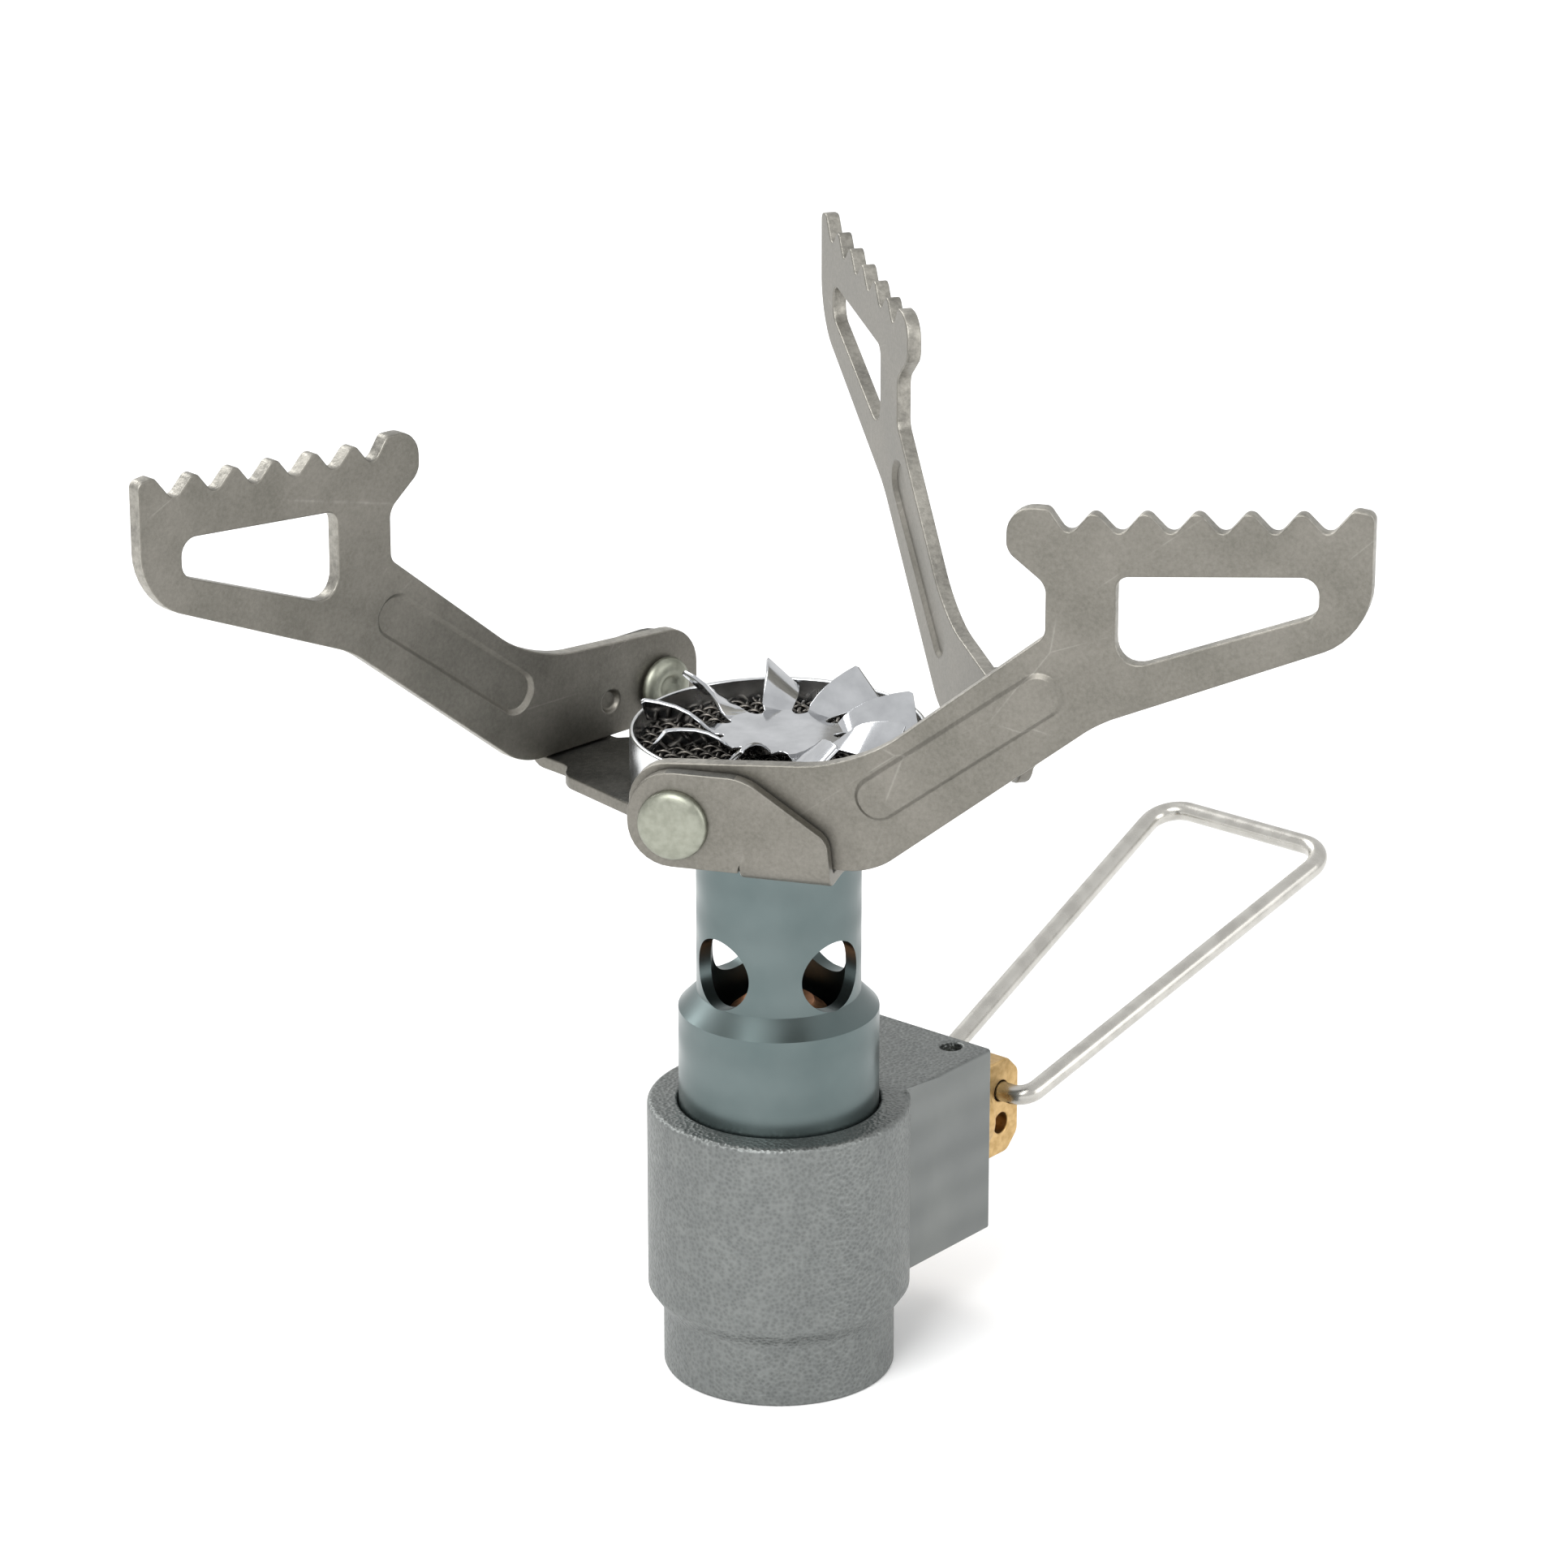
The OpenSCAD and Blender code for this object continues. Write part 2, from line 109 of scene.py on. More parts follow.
# %% Node helpers
def linear(code):
    """Linear colour of an sRGB hex code."""
    parts = [int(code[i:i + 2], 16) / 255 for i in (1, 3, 5)]
    light = [c / 12.92 if c <= 0.04045 else ((c + 0.055) / 1.055) ** 2.4 for c in parts]
    return (*light, 1)


def add(tree, kind, links=(), **settings):
    """Adds a node. A setting is one of its properties or the name of an input socket."""
    node = tree.nodes.new("ShaderNode" + kind)
    for key, value in settings.items():
        if hasattr(node, key):
            setattr(node, key, value)
        else:
            node.inputs[key.replace("_", " ")].default_value = value
    for socket, source in links:
        tree.links.new(source, node.inputs[socket])
    return node


def metal(name, roughness, colour="#ffffff"):
    """A bare metal: its tree, its shader and the coordinates its patterns read."""
    material = bpy.data.materials.new(name)
    material.use_nodes = True
    tree = material.node_tree
    shader = tree.nodes["Principled BSDF"]
    shader.inputs["Metallic"].default_value = 1
    shader.inputs["Roughness"].default_value = roughness
    shader.inputs["Base Color"].default_value = linear(colour)
    place = tree.nodes.new("ShaderNodeTexCoord").outputs["Object"]
    return material, tree, shader, place


def per(size_mm):
    """Texture scale that makes one feature of a pattern this many millimetres wide."""
    return 1 / (size_mm * mm)


# %% [markdown]
# ### Bead-blasted cast aluminium
# The valve body is die cast, tumbled and blasted with beads, then anodised grey. The blast
# leaves a skin of small round dents that sparkle on their edges, and their colour paints shade
# in each dent and a highlight on its rim. A Voronoi pattern has the right round cells; plain
# noise alone would look like sand. Grit of 0.2 mm is drawn at 0.3 mm so that it still shows at
# this distance.

# %% Blasted aluminium
def bead_blasted_aluminium():
    material, tree, shader, place = metal("bead_blasted_cast_aluminium", 0.5)
    dents = add(tree, "TexVoronoi", [("Vector", place)], feature="SMOOTH_F1", Scale=per(0.3),
                Smoothness=0.35)
    dust = add(tree, "TexNoise", [("Vector", place)], Scale=per(1.8), Detail=6, Roughness=0.65)
    tone = add(tree, "ValToRGB", [("Fac", dust.outputs["Fac"])])
    tone.color_ramp.elements[0].position = 0.2
    tone.color_ramp.elements[0].color = linear("#767978")
    tone.color_ramp.elements[1].position = 0.8
    tone.color_ramp.elements[1].color = linear("#848785")
    # Painted shade and highlight: each dent's hollow is coloured darker and its rim white,
    # multiplied over the tone.
    crest = add(tree, "ValToRGB", [("Fac", dents.outputs["Distance"])])
    crest.color_ramp.elements[0].position = 0.1
    crest.color_ramp.elements[0].color = linear("#5c5e5e")
    crest.color_ramp.elements[1].position = 0.75
    crest.color_ramp.elements[1].color = linear("#ffffff")
    colour = add(tree, "Mix", data_type="RGBA", blend_type="MULTIPLY")
    colour.inputs["Factor"].default_value = 0.3
    tree.links.new(tone.outputs["Color"], colour.inputs["A"])
    tree.links.new(crest.outputs["Color"], colour.inputs["B"])
    tree.links.new(colour.outputs["Result"], shader.inputs["Base Color"])
    bump = add(tree, "Bump", [("Height", dents.outputs["Distance"])], Strength=1,
               Distance=0.08 * mm)
    tree.links.new(bump.outputs["Normal"], shader.inputs["Normal"])
    return material


blasted = bead_blasted_aluminium()
print("made", blasted.name)

# %% [markdown]
# ### Milled and anodised aluminium
# The flat sides of the spindle block were milled after the blast, and the tube and its collar
# were turned. Both are smooth, and the turned pieces are slightly blue. The tool leaves rings
# on a turned piece: a wave along the height moves the roughness and a very shallow bump.

# %% Anodised aluminium
def anodised_aluminium(name, dark, light, roughness, ring_depth):
    material, tree, shader, place = metal(name, roughness)
    cloud = add(tree, "TexNoise", [("Vector", place)], Scale=per(6), Detail=3)
    tone = add(tree, "ValToRGB", [("Fac", cloud.outputs["Fac"])])
    tone.color_ramp.elements[0].position = 0.35
    tone.color_ramp.elements[0].color = linear(dark)
    tone.color_ramp.elements[1].position = 0.65
    tone.color_ramp.elements[1].color = linear(light)
    tree.links.new(tone.outputs["Color"], shader.inputs["Base Color"])
    rings = add(tree, "TexWave", [("Vector", place)], wave_type="BANDS", bands_direction="Z",
                Scale=per(0.16) / (2 * math.pi) * 0.1, Distortion=0.6, Detail=2)
    matt = add(tree, "MapRange", [("Value", rings.outputs["Fac"])], To_Min=roughness - 0.04,
               To_Max=roughness + 0.06)
    tree.links.new(matt.outputs["Result"], shader.inputs["Roughness"])
    bump = add(tree, "Bump", [("Height", rings.outputs["Fac"])], Strength=0.5,
               Distance=ring_depth * mm)
    tree.links.new(bump.outputs["Normal"], shader.inputs["Normal"])
    return material


turned = anodised_aluminium("turned_anodised_aluminium", "#5d6969", "#667171", 0.33, 0.004)
milled = anodised_aluminium("milled_anodised_aluminium", "#737675", "#7b7e7c", 0.46, 0.002)
print("made", turned.name, milled.name)

# %% [markdown]
# ### Pickled titanium sheet
# Supports and bracket are stamped from titanium and tumbled. The sheet is warm grey and
# almost dull, clouded at a few millimetres, with a fine salt-and-pepper grain. Handling
# leaves faint bright scratches here and there. The stamped edge was sheared, so it is lighter
# and coarser. Face, edge and the bracket's floor take three finishes by their direction.

# %% Titanium
def titanium_sheet(name, dark, light, roughness, grain_mm, grain_depth):
    material, tree, shader, place = metal(name, roughness)
    cloud = add(tree, "TexNoise", [("Vector", place)], Scale=per(5), Detail=5, Roughness=0.6)
    grain = add(tree, "TexNoise", [("Vector", place)], Scale=per(grain_mm), Detail=3,
                Roughness=0.7)
    both = add(tree, "Mix", [("A", cloud.outputs["Fac"]), ("B", grain.outputs["Fac"])],
               data_type="FLOAT")
    both.inputs["Factor"].default_value = 0.45
    tone = add(tree, "ValToRGB", [("Fac", both.outputs["Result"])])
    tone.color_ramp.elements[0].position = 0.36
    tone.color_ramp.elements[0].color = linear(dark)
    tone.color_ramp.elements[1].position = 0.64
    tone.color_ramp.elements[1].color = linear(light)
    stretched = add(tree, "Mapping", [("Vector", place)], vector_type="TEXTURE")
    stretched.inputs["Rotation"].default_value = (1.1, 0.35, 0.8)
    stretched.inputs["Scale"].default_value = (1, 1, 8)
    scratch = add(tree, "TexVoronoi", [("Vector", stretched.outputs["Vector"])],
                  feature="DISTANCE_TO_EDGE", Scale=per(9))
    line = add(tree, "ValToRGB", [("Fac", scratch.outputs["Distance"])])
    line.color_ramp.elements[0].position = 0.0
    line.color_ramp.elements[0].color = (1, 1, 1, 1)
    line.color_ramp.elements[1].position = 0.006
    line.color_ramp.elements[1].color = (0, 0, 0, 1)
    shown = add(tree, "MapRange", [("Value", cloud.outputs["Fac"])], From_Min=0.5, From_Max=0.62,
                To_Max=0.13)
    amount = add(tree, "Math", [(0, line.outputs["Color"]), (1, shown.outputs["Result"])],
                 operation="MULTIPLY")
    colour = add(tree, "Mix", [("Factor", amount.outputs["Value"])], data_type="RGBA")
    tree.links.new(tone.outputs["Color"], colour.inputs["A"])
    colour.inputs["B"].default_value = linear("#d8d6cf")
    tree.links.new(colour.outputs["Result"], shader.inputs["Base Color"])
    matt = add(tree, "MapRange", [("Value", cloud.outputs["Fac"])], To_Min=roughness - 0.08,
               To_Max=roughness + 0.08)
    tree.links.new(matt.outputs["Result"], shader.inputs["Roughness"])
    bump = add(tree, "Bump", [("Height", grain.outputs["Fac"])], Strength=0.6,
               Distance=grain_depth * mm)
    tree.links.new(bump.outputs["Normal"], shader.inputs["Normal"])
    return material


sheet = titanium_sheet("pickled_titanium_sheet", "#6d6b64", "#827f78", 0.46, 0.3, 0.02)
sheared = titanium_sheet("sheared_titanium_edge", "#787670", "#a8a59d", 0.48, 0.45, 0.08)
# The floor finish is a darker copy of the sheet: its coarse grain is real, its darker tone is
# painted shade.
pebbled = titanium_sheet("pebbled_shaded_titanium_floor", "#4f4f4c", "#6c6b66", 0.5, 0.45, 0.12)
print("made", sheet.name, sheared.name, pebbled.name)

# %% [markdown]
# ### Polished, drawn and turned metals
# The flame spreader is mirror-bright stainless steel, so nearly all of its look is reflection
# and it only needs faint waviness and heat haze. The drawn cup is the same steel, a little
# duller. The handle is hard-drawn wire, bright and even. The rivets are satin, the spindle and
# jet are brass turned from bar. One recipe with a fine noise in roughness and bump serves all.

# %% Bright metals
def bright_metal(name, dark, light, roughness, grain_mm, depth):
    material, tree, shader, place = metal(name, roughness)
    haze = add(tree, "TexNoise", [("Vector", place)], Scale=per(grain_mm), Detail=4)
    tone = add(tree, "ValToRGB", [("Fac", haze.outputs["Fac"])])
    tone.color_ramp.elements[0].position = 0.35
    tone.color_ramp.elements[0].color = linear(dark)
    tone.color_ramp.elements[1].position = 0.65
    tone.color_ramp.elements[1].color = linear(light)
    tree.links.new(tone.outputs["Color"], shader.inputs["Base Color"])
    matt = add(tree, "MapRange", [("Value", haze.outputs["Fac"])], To_Min=roughness * 0.7,
               To_Max=roughness * 1.4)
    tree.links.new(matt.outputs["Result"], shader.inputs["Roughness"])
    bump = add(tree, "Bump", [("Height", haze.outputs["Fac"])], Strength=0.4,
               Distance=depth * mm)
    tree.links.new(bump.outputs["Normal"], shader.inputs["Normal"])
    return material


mirror = bright_metal("mirror_polished_stainless", "#b4b6b9", "#c8cacd", 0.1, 2.2, 0.02)
wire_steel = bright_metal("hard_drawn_stainless_wire", "#b3b1ab", "#c2c0ba", 0.26, 1.5, 0.002)
rivet_steel = bright_metal("satin_rivet_steel", "#898b7f", "#999b8f", 0.42, 0.6, 0.006)
brass = bright_metal("turned_brass", "#b1925f", "#c9aa78", 0.34, 0.5, 0.01)
jet_brass = bright_metal("red_brass_jet", "#a8714c", "#c28b63", 0.34, 0.5, 0.01)
drawn = bright_metal("drawn_stainless_cup", "#cfd1d2", "#e2e4e5", 0.24, 1.6, 0.006)
for made in (mirror, drawn, wire_steel, rivet_steel, brass, jet_brass):
    print("made", made.name)

# %% [markdown]
# ### Rubber and burnt wire cloth
# Seals and gasket are black nitrile rubber, dull with a weak sheen. The wire cloth over the
# burner has been burnt black: still a metal, but covered in oxide, so it is dark and only
# glints where the wires cross.

# %% Dark materials
def nitrile_rubber():
    material, tree, shader, place = metal("nitrile_rubber", 0.62, "#1b1b1a")
    shader.inputs["Metallic"].default_value = 0
    shader.inputs["IOR"].default_value = 1.52
    grain = add(tree, "TexNoise", [("Vector", place)], Scale=per(0.3), Detail=2)
    bump = add(tree, "Bump", [("Height", grain.outputs["Fac"])], Strength=0.3,
               Distance=0.01 * mm)
    tree.links.new(bump.outputs["Normal"], shader.inputs["Normal"])
    return material


rubber = nitrile_rubber()
burnt_wire = bright_metal("burnt_wire_cloth", "#3a3836", "#77736d", 0.3, 0.8, 0.01)
print("made", rubber.name, burnt_wire.name)

# %% [markdown]
# ## Mesh helpers
# Every new piece starts as a bmesh and ends the same way: placed in the frame, given its
# materials and tied to the body it moves with. Sharp machined corners look false because a
# real corner is always broken, so a narrow Bevel modifier catches the light along each edge,
# and Weighted Normal keeps the flats flat.

# %% Finishing a piece
def finish_piece(name, bm, body, materials, node, edge_mm=0.0):
    """Turns a bmesh in metres into a named piece that stands for a CAD node."""
    mesh = bpy.data.meshes.new(name)
    bm.to_mesh(mesh)
    bm.free()
    for face in mesh.polygons:
        face.use_smooth = True
    for material in materials:
        mesh.materials.append(material)
    item = bpy.data.objects.new(name, mesh)
    bpy.context.collection.objects.link(item)
    if edge_mm:
        bevel = item.modifiers.new("broken_edge", "BEVEL")
        bevel.width = edge_mm * mm
        bevel.segments = 2
        bevel.limit_method = "ANGLE"
        bevel.angle_limit = math.radians(38)
        bevel.use_clamp_overlap = False
    weight = item.modifiers.new("flat_faces", "WEIGHTED_NORMAL")
    weight.keep_sharp = True
    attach(item, body)
    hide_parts(node)
    print(name, "has", len(mesh.polygons), "faces")
    return item


def cad_copy(node):
    """The mesh of a CAD node as a bmesh, merged and with its flat faces joined up."""
    bm = bmesh.new()
    bm.from_mesh(frame["nodes"][node].data)
    bmesh.ops.remove_doubles(bm, verts=bm.verts, dist=0.002 * mm)
    bmesh.ops.dissolve_limit(bm, angle_limit=math.radians(0.4), verts=bm.verts,
                             edges=bm.edges, use_dissolve_boundaries=False)
    return bm


def turned_shape(profile, steps=96):
    """Spins a closed half-section of (radius, height) points in mm about the Z axis."""
    bm = bmesh.new()
    points = [bm.verts.new((r * mm, 0, z * mm)) for r, z in profile]
    lines = [bm.edges.new(pair) for pair in zip(points, points[1:])]
    bmesh.ops.spin(bm, geom=points + lines, cent=(0, 0, 0), axis=(0, 0, 1),
                   angle=2 * math.pi, steps=steps, use_merge=True)
    bmesh.ops.remove_doubles(bm, verts=bm.verts, dist=0.001 * mm)
    bmesh.ops.recalc_face_normals(bm, faces=bm.faces)
    return bm


def rounded_outline(bm, corners):
    """A flat loop through (x, y, radius) corners in mm, each rounded by a vertex bevel."""
    before = set(bm.edges)
    places = [Vector((*corner[:2], 0)) for corner in corners]
    points = [bm.verts.new(place * mm) for place in places]
    bm.faces.new(points)
    count = len(corners)
    for i, corner in enumerate(corners):
        radius = corner[2]
        if not radius:
            continue
        back = places[i - 1] - places[i]
        ahead = places[(i + 1) % count] - places[i]
        cut = radius / math.tan(back.angle(ahead) / 2)
        bmesh.ops.bevel(bm, geom=[points[i]], offset=cut * mm, offset_type="OFFSET",
                        segments=8, profile=0.5, affect="VERTICES", clamp_overlap=False,
                        material=-1)
    loop = [edge for edge in bm.edges if edge not in before]
    faces = list({face for edge in loop for face in edge.link_faces})
    bmesh.ops.delete(bm, geom=faces, context="FACES_ONLY")
    return loop, points


# %% [markdown]
# ## Valve body
# One casting: a round body over a narrow skirt, with a square block for the spindle. The CAD
# mesh already has every bore, so a merged copy is kept and its corners are broken. The block's
# upright sides and end were milled after the blast, so those faces take the smoother finish.

# %% Valve body
block_half = 6.7
bm = cad_copy("valve_body")
body_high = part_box("valve_body")[1]
for face in bm.faces:
    off_side = abs(abs(face.calc_center_median().y) - block_half * mm)
    side = abs(face.normal.y) > 0.98 and off_side < 0.1 * mm
    end = face.normal.x > 0.98 and face.calc_center_median().x > body_high[0] - 0.1 * mm
    face.material_index = 1 if side or end else 0
finish_piece("blasted_valve_body", bm, "stove", [blasted, milled], "valve_body", 0.22)

# %% [markdown]
# ## Opener pin and spindle
# These are turned from brass bar and their CAD meshes are exact, so they too are merged copies
# with broken edges. The burner tube and the jet are left as the CAD made them: their crossing
# bores already meet in clean curves that a bevel would spoil.

# %% Brass parts
for node, name, body, edge in (("opener_pin", "brass_opener_pin", "stove", 0.08),
                               ("valve_spindle", "brass_valve_spindle", "spindle", 0.15)):
    finish_piece(name, cad_copy(node), body, [brass], node, edge)

# %% [markdown]
# ## Pot supports
# Each support is one stamping. Its outline, the window, the pivot hole, the rib and the small
# dimple are drawn as flat loops around the pivot. A fill between the loops gives the sheet,
# an extrude gives its thickness, and three insets with depth press the rib through it: out on
# the outer face, in on the inner one, gentle at the foot and brow and steep between. The joint
# says where the pivot is and which way the sheet faces, so one drawing makes all three.

# %% Drawing of a support
arm_t = 1.1
teeth = 6
tooth_pitch = 3.56
tooth_rise = 0.3
tooth_height = 2.1
first_valley = (27.6, 23.12)
rib_start = Vector((13.1, 2.0, 0))
rib_angle = math.radians(37)
rib_length = 17.6
rib_half = 1.75
press_steps = [(0.12, 0.05), (0.2, 0.25), (0.12, 0.05)]


def support_corners():
    """Corners of a support's outline, in mm from its pivot."""
    corners = [(-3.6, -2.7, 2.6), (14, -2.7, 5), (29.9, 9.9, 9), (48.5, 17.9, 5.2),
               (48.5, 26.55, 0.6)]
    for k in range(teeth - 1, -1, -1):
        x = first_valley[0] + k * tooth_pitch
        y = first_valley[1] + k * tooth_rise
        corners += [(x + 1.7, y + tooth_height, 0.6), (x, y, 0.7)]
    return corners + [(26.2, 25.05, 0.55), (23.3, 25, 1.95), (23.3, 21.8, 1.3),
                      (26.1, 19.6, 1.3), (26.1, 15.9, 1), (12.8, 5.05, 12), (-3.6, 3.9, 3.1)]


window_corners = [(31, 13.7, 1.7), (44.9, 19.1, 1.2), (44.9, 21.8, 1.2), (31, 20.6, 0.9)]


def rib_corners():
    """Corners of the rib's long strip, which runs up the strut."""
    along = Vector((math.cos(rib_angle), math.sin(rib_angle), 0))
    across = Vector((-along.y, along.x, 0)) * rib_half
    ends = (rib_start - across, rib_start + along * rib_length - across,
            rib_start + along * rib_length + across, rib_start + across)
    return [(p.x, p.y, rib_half - 0.1) for p in ends]


def round_loop(bm, x, y, radius, segments=32):
    """A flat circle in mm."""
    made = bmesh.ops.create_circle(bm, cap_ends=False, segments=segments, radius=radius * mm,
                                   matrix=Matrix.Translation((x * mm, y * mm, 0)))
    return list({edge for vert in made["verts"] for edge in vert.link_edges})


# %% Pressing a support
def pivot_place(joint):
    """Matrix from a drawing round the pivot to the frame: across, up and outwards."""
    out = Vector(joint["axis"])
    across = Vector((-out.y, out.x, 0))
    place = Matrix((across, (0, 0, 1), out)).transposed().to_4x4()
    place.translation = joint["pos_m"]
    return place


def pressed_support():
    """One support as a bmesh, drawn round its pivot with its middle plane at z = 0."""
    bm = bmesh.new()
    loops = [rounded_outline(bm, support_corners())[0], rounded_outline(bm, window_corners)[0],
             round_loop(bm, 0, 0, 1.56)]
    rib = rounded_outline(bm, rib_corners())[0]
    dimple = round_loop(bm, 5.2, 0, 0.9, 24)
    bmesh.ops.triangle_fill(bm, use_beauty=True, normal=(0, 0, 1),
                            edges=[edge for loop in loops for edge in loop] + rib + dimple)
    bmesh.ops.dissolve_limit(bm, angle_limit=0.01, verts=bm.verts, edges=bm.edges)
    for mark, loop in ((1, rib), (2, dimple)):
        loop = [edge for edge in loop if edge.is_valid]
        made = bmesh.ops.edgeloop_fill(bm, edges=loop)
        for face in made["faces"]:
            face.material_index = mark
    flat = list(bm.faces)
    lifted = bmesh.ops.extrude_face_region(bm, geom=flat)["geom"]
    top = [item for item in lifted if isinstance(item, bmesh.types.BMFace)]
    upper = [item for item in lifted if isinstance(item, bmesh.types.BMVert)]
    bmesh.ops.translate(bm, verts=upper, vec=(0, 0, arm_t * mm))
    bmesh.ops.recalc_face_normals(bm, faces=bm.faces)
    top_set = set(top)
    for face in [f for f in bm.faces if f.material_index == 1]:
        sign = 1 if face in top_set else -1
        for width, depth in press_steps:
            bmesh.ops.inset_region(bm, faces=[face], thickness=width * mm,
                                   use_even_offset=True, depth=sign * depth * mm)
        face.material_index = 0
    for face in [f for f in bm.faces if f.material_index == 2]:
        if face not in top_set:
            bmesh.ops.inset_region(bm, faces=[face], thickness=0.18 * mm,
                                   use_even_offset=True, depth=-0.4 * mm)
    for face in bm.faces:
        face.material_index = 1 if abs(face.normal.z) < 0.05 else 0
    bmesh.ops.translate(bm, verts=bm.verts, vec=(0, 0, -arm_t / 2 * mm))
    return bm


for number in (1, 2, 3):
    bm = pressed_support()
    bm.transform(pivot_place(joints[f"arm_{number}_fold"]))
    finish_piece(f"pressed_pot_support_{number}", bm, f"arm_{number}", [sheet, sheared],
                 f"pot_arm_{number}", 0.13)

# %% [markdown]
# ## Support bracket
# One stamping: a three-sided floor with the tube's hole in the middle, and three strips bent
# up into the ears that carry the rivets. It is built as a middle sheet. The floor is a flat
# loop, each bend is the strip's end edge spun through a quarter turn, each ear is a drawn loop
# joined on, and the whole sheet gets its thickness at the end. Faces that look straight up or
# down take a coarser and darker copy of the sheet finish: the coarse grain is the rolled skin,
# the darker tone is painted shade on the floor.

# %% Bracket
ear_t = 1.0
ear_inner = 16.5
bend_from = 16.0
ear_corners = [(-3.4, -3.25, 3.2), (4.7, -3.25, 0), (4.7, -2.4, 0), (11.3, -2.4, 0),
               (11.1, -0.2, 1.6), (5.0, 3.85, 3.5), (-3.4, 3.85, 3.5)]


def floor_corners(rows):
    """Corners of the bracket's floor, in mm: each row is (along a support, outwards, radius)."""
    corners = []
    for number in (1, 2, 3):
        out = Vector(joints[f"arm_{number}_fold"]["axis"])
        across = Vector((-out.y, out.x, 0))
        for along, away, radius in rows:
            corners.append((*(across * along + out * away).xy, radius))
    return corners


def bent_bracket():
    """The bracket's upper and inner surface as a bmesh, with its thickness below it."""
    bm = bmesh.new()
    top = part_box("support_bracket")[0][2] / mm + ear_t
    rows = [(1.9, 15.1, 0.5), (1.9, bend_from, 0), (8.5, bend_from, 0), (8.5, 13.3, 1),
            (10, 12.1, 2)]
    loop, points = rounded_outline(bm, floor_corners(rows))
    hole = round_loop(bm, 0, 0, 5.54, 64)
    bmesh.ops.triangle_fill(bm, use_beauty=True, normal=(0, 0, 1), edges=loop + hole)
    bmesh.ops.translate(bm, verts=bm.verts, vec=(0, 0, top * mm))
    for number in (1, 2, 3):
        joint = joints[f"arm_{number}_fold"]
        out = Vector(joint["axis"])
        across = Vector((-out.y, out.x, 0))
        first = 5 * (number - 1) + 1
        strip = bm.edges.get((points[first], points[first + 1]))
        centre = (out * bend_from + Vector((0, 0, top + ear_inner - bend_from))) * mm
        bmesh.ops.spin(bm, geom=[strip] + list(strip.verts), cent=centre, axis=across,
                       angle=-math.pi / 2, steps=5)
        ear = rounded_outline(bm, ear_corners)[0]
        pin = round_loop(bm, 0, 0, 1.5)
        bmesh.ops.triangle_fill(bm, use_beauty=True, normal=(0, 0, 1), edges=ear + pin)
        verts = list({vert for edge in ear + pin for vert in edge.verts})
        pivot_out = Vector(joint["pos_m"]).dot(out)
        depth = Matrix.Translation((0, 0, ear_inner * mm - pivot_out))
        bmesh.ops.transform(bm, matrix=pivot_place(joint) @ depth, verts=verts)
    bmesh.ops.remove_doubles(bm, verts=bm.verts, dist=0.02 * mm)
    bmesh.ops.recalc_face_normals(bm, faces=bm.faces)
    floor_face = min(bm.faces, key=lambda face: face.calc_center_median().z)
    if floor_face.normal.z < 0:
        bmesh.ops.reverse_faces(bm, faces=bm.faces)
    bmesh.ops.solidify(bm, geom=list(bm.faces), thickness=ear_t * mm)
    bmesh.ops.dissolve_limit(bm, angle_limit=0.01, verts=bm.verts, edges=bm.edges)
    return bm


bm = bent_bracket()
# Faces that look straight up or down get painted shade: the darker, coarser floor finish.
for face in bm.faces:
    face.material_index = 1 if abs(face.normal.z) > 0.98 else 0
heights = [vert.co.z / mm for vert in bm.verts]
print("bracket from", round(min(heights), 2), "to", round(max(heights), 2))
finish_piece("bent_support_bracket", bm, "stove", [sheet, pebbled], "support_bracket", 0.15)

# %% [markdown]
# ## Rivets
# A rivet is a turned pin with a low domed head outside. Its inner end was spun over a washer
# face and carries the punch's dimple. A half-section spun about its axis gives both ends.

# %% Rivets
gap = 0.2
ear_face = arm_t / 2 + gap + ear_t
inner_face = -(arm_t / 2 + gap)
rivet_section = [(0, ear_face + 0.8), (0.9, ear_face + 0.79), (1.7, ear_face + 0.74),
                 (2.15, ear_face + 0.66), (2.4, ear_face + 0.52), (2.52, ear_face + 0.36),
                 (2.55, ear_face + 0.2), (2.55, ear_face + 0.05), (2.5, ear_face),
                 (1.5, ear_face), (1.5, inner_face), (2.2, inner_face),
                 (2.25, inner_face - 0.15), (2.15, inner_face - 0.45),
                 (1.85, inner_face - 0.68), (1.4, inner_face - 0.78),
                 (1.05, inner_face - 0.74), (0.8, inner_face - 0.55),
                 (0.5, inner_face - 0.38), (0, inner_face - 0.32)]
for number in (1, 2, 3):
    bm = turned_shape(rivet_section, 64)
    bm.transform(pivot_place(joints[f"arm_{number}_fold"]))
    finish_piece(f"headed_rivet_{number}", bm, "stove", [rivet_steel], f"arm_rivet_{number}")

# %% [markdown]
# ## Burner cup
# The cup is drawn from thin polished sheet: a flat floor clamped under the tube's lip, a
# rounded foot and a thin wall with a smooth rim. A half-section spun once gives all of it.

# %% Cup
cup_low, cup_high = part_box("burner_cup")
cup_floor = cup_low[2] / mm
cup_rim = cup_high[2] / mm
cup_r = cup_high[0] / mm
sheet_t = 0.35
foot_r = 0.7
rim_r = sheet_t / 2
foot = [(cup_r - foot_r + foot_r * math.sin(a), cup_floor + foot_r - foot_r * math.cos(a))
        for a in [math.pi / 2 * i / 6 for i in range(7)]]
rim = [(cup_r - rim_r + rim_r * math.cos(a), cup_rim - rim_r + rim_r * math.sin(a))
       for a in [math.pi * i / 6 for i in range(7)]]
inner = [(cup_r - sheet_t, cup_floor + 0.8), (cup_r - 0.8, cup_floor + sheet_t)]
hole = 5.56
section = ([(hole, cup_floor)] + foot + rim + inner
           + [(hole, cup_floor + sheet_t), (hole, cup_floor)])
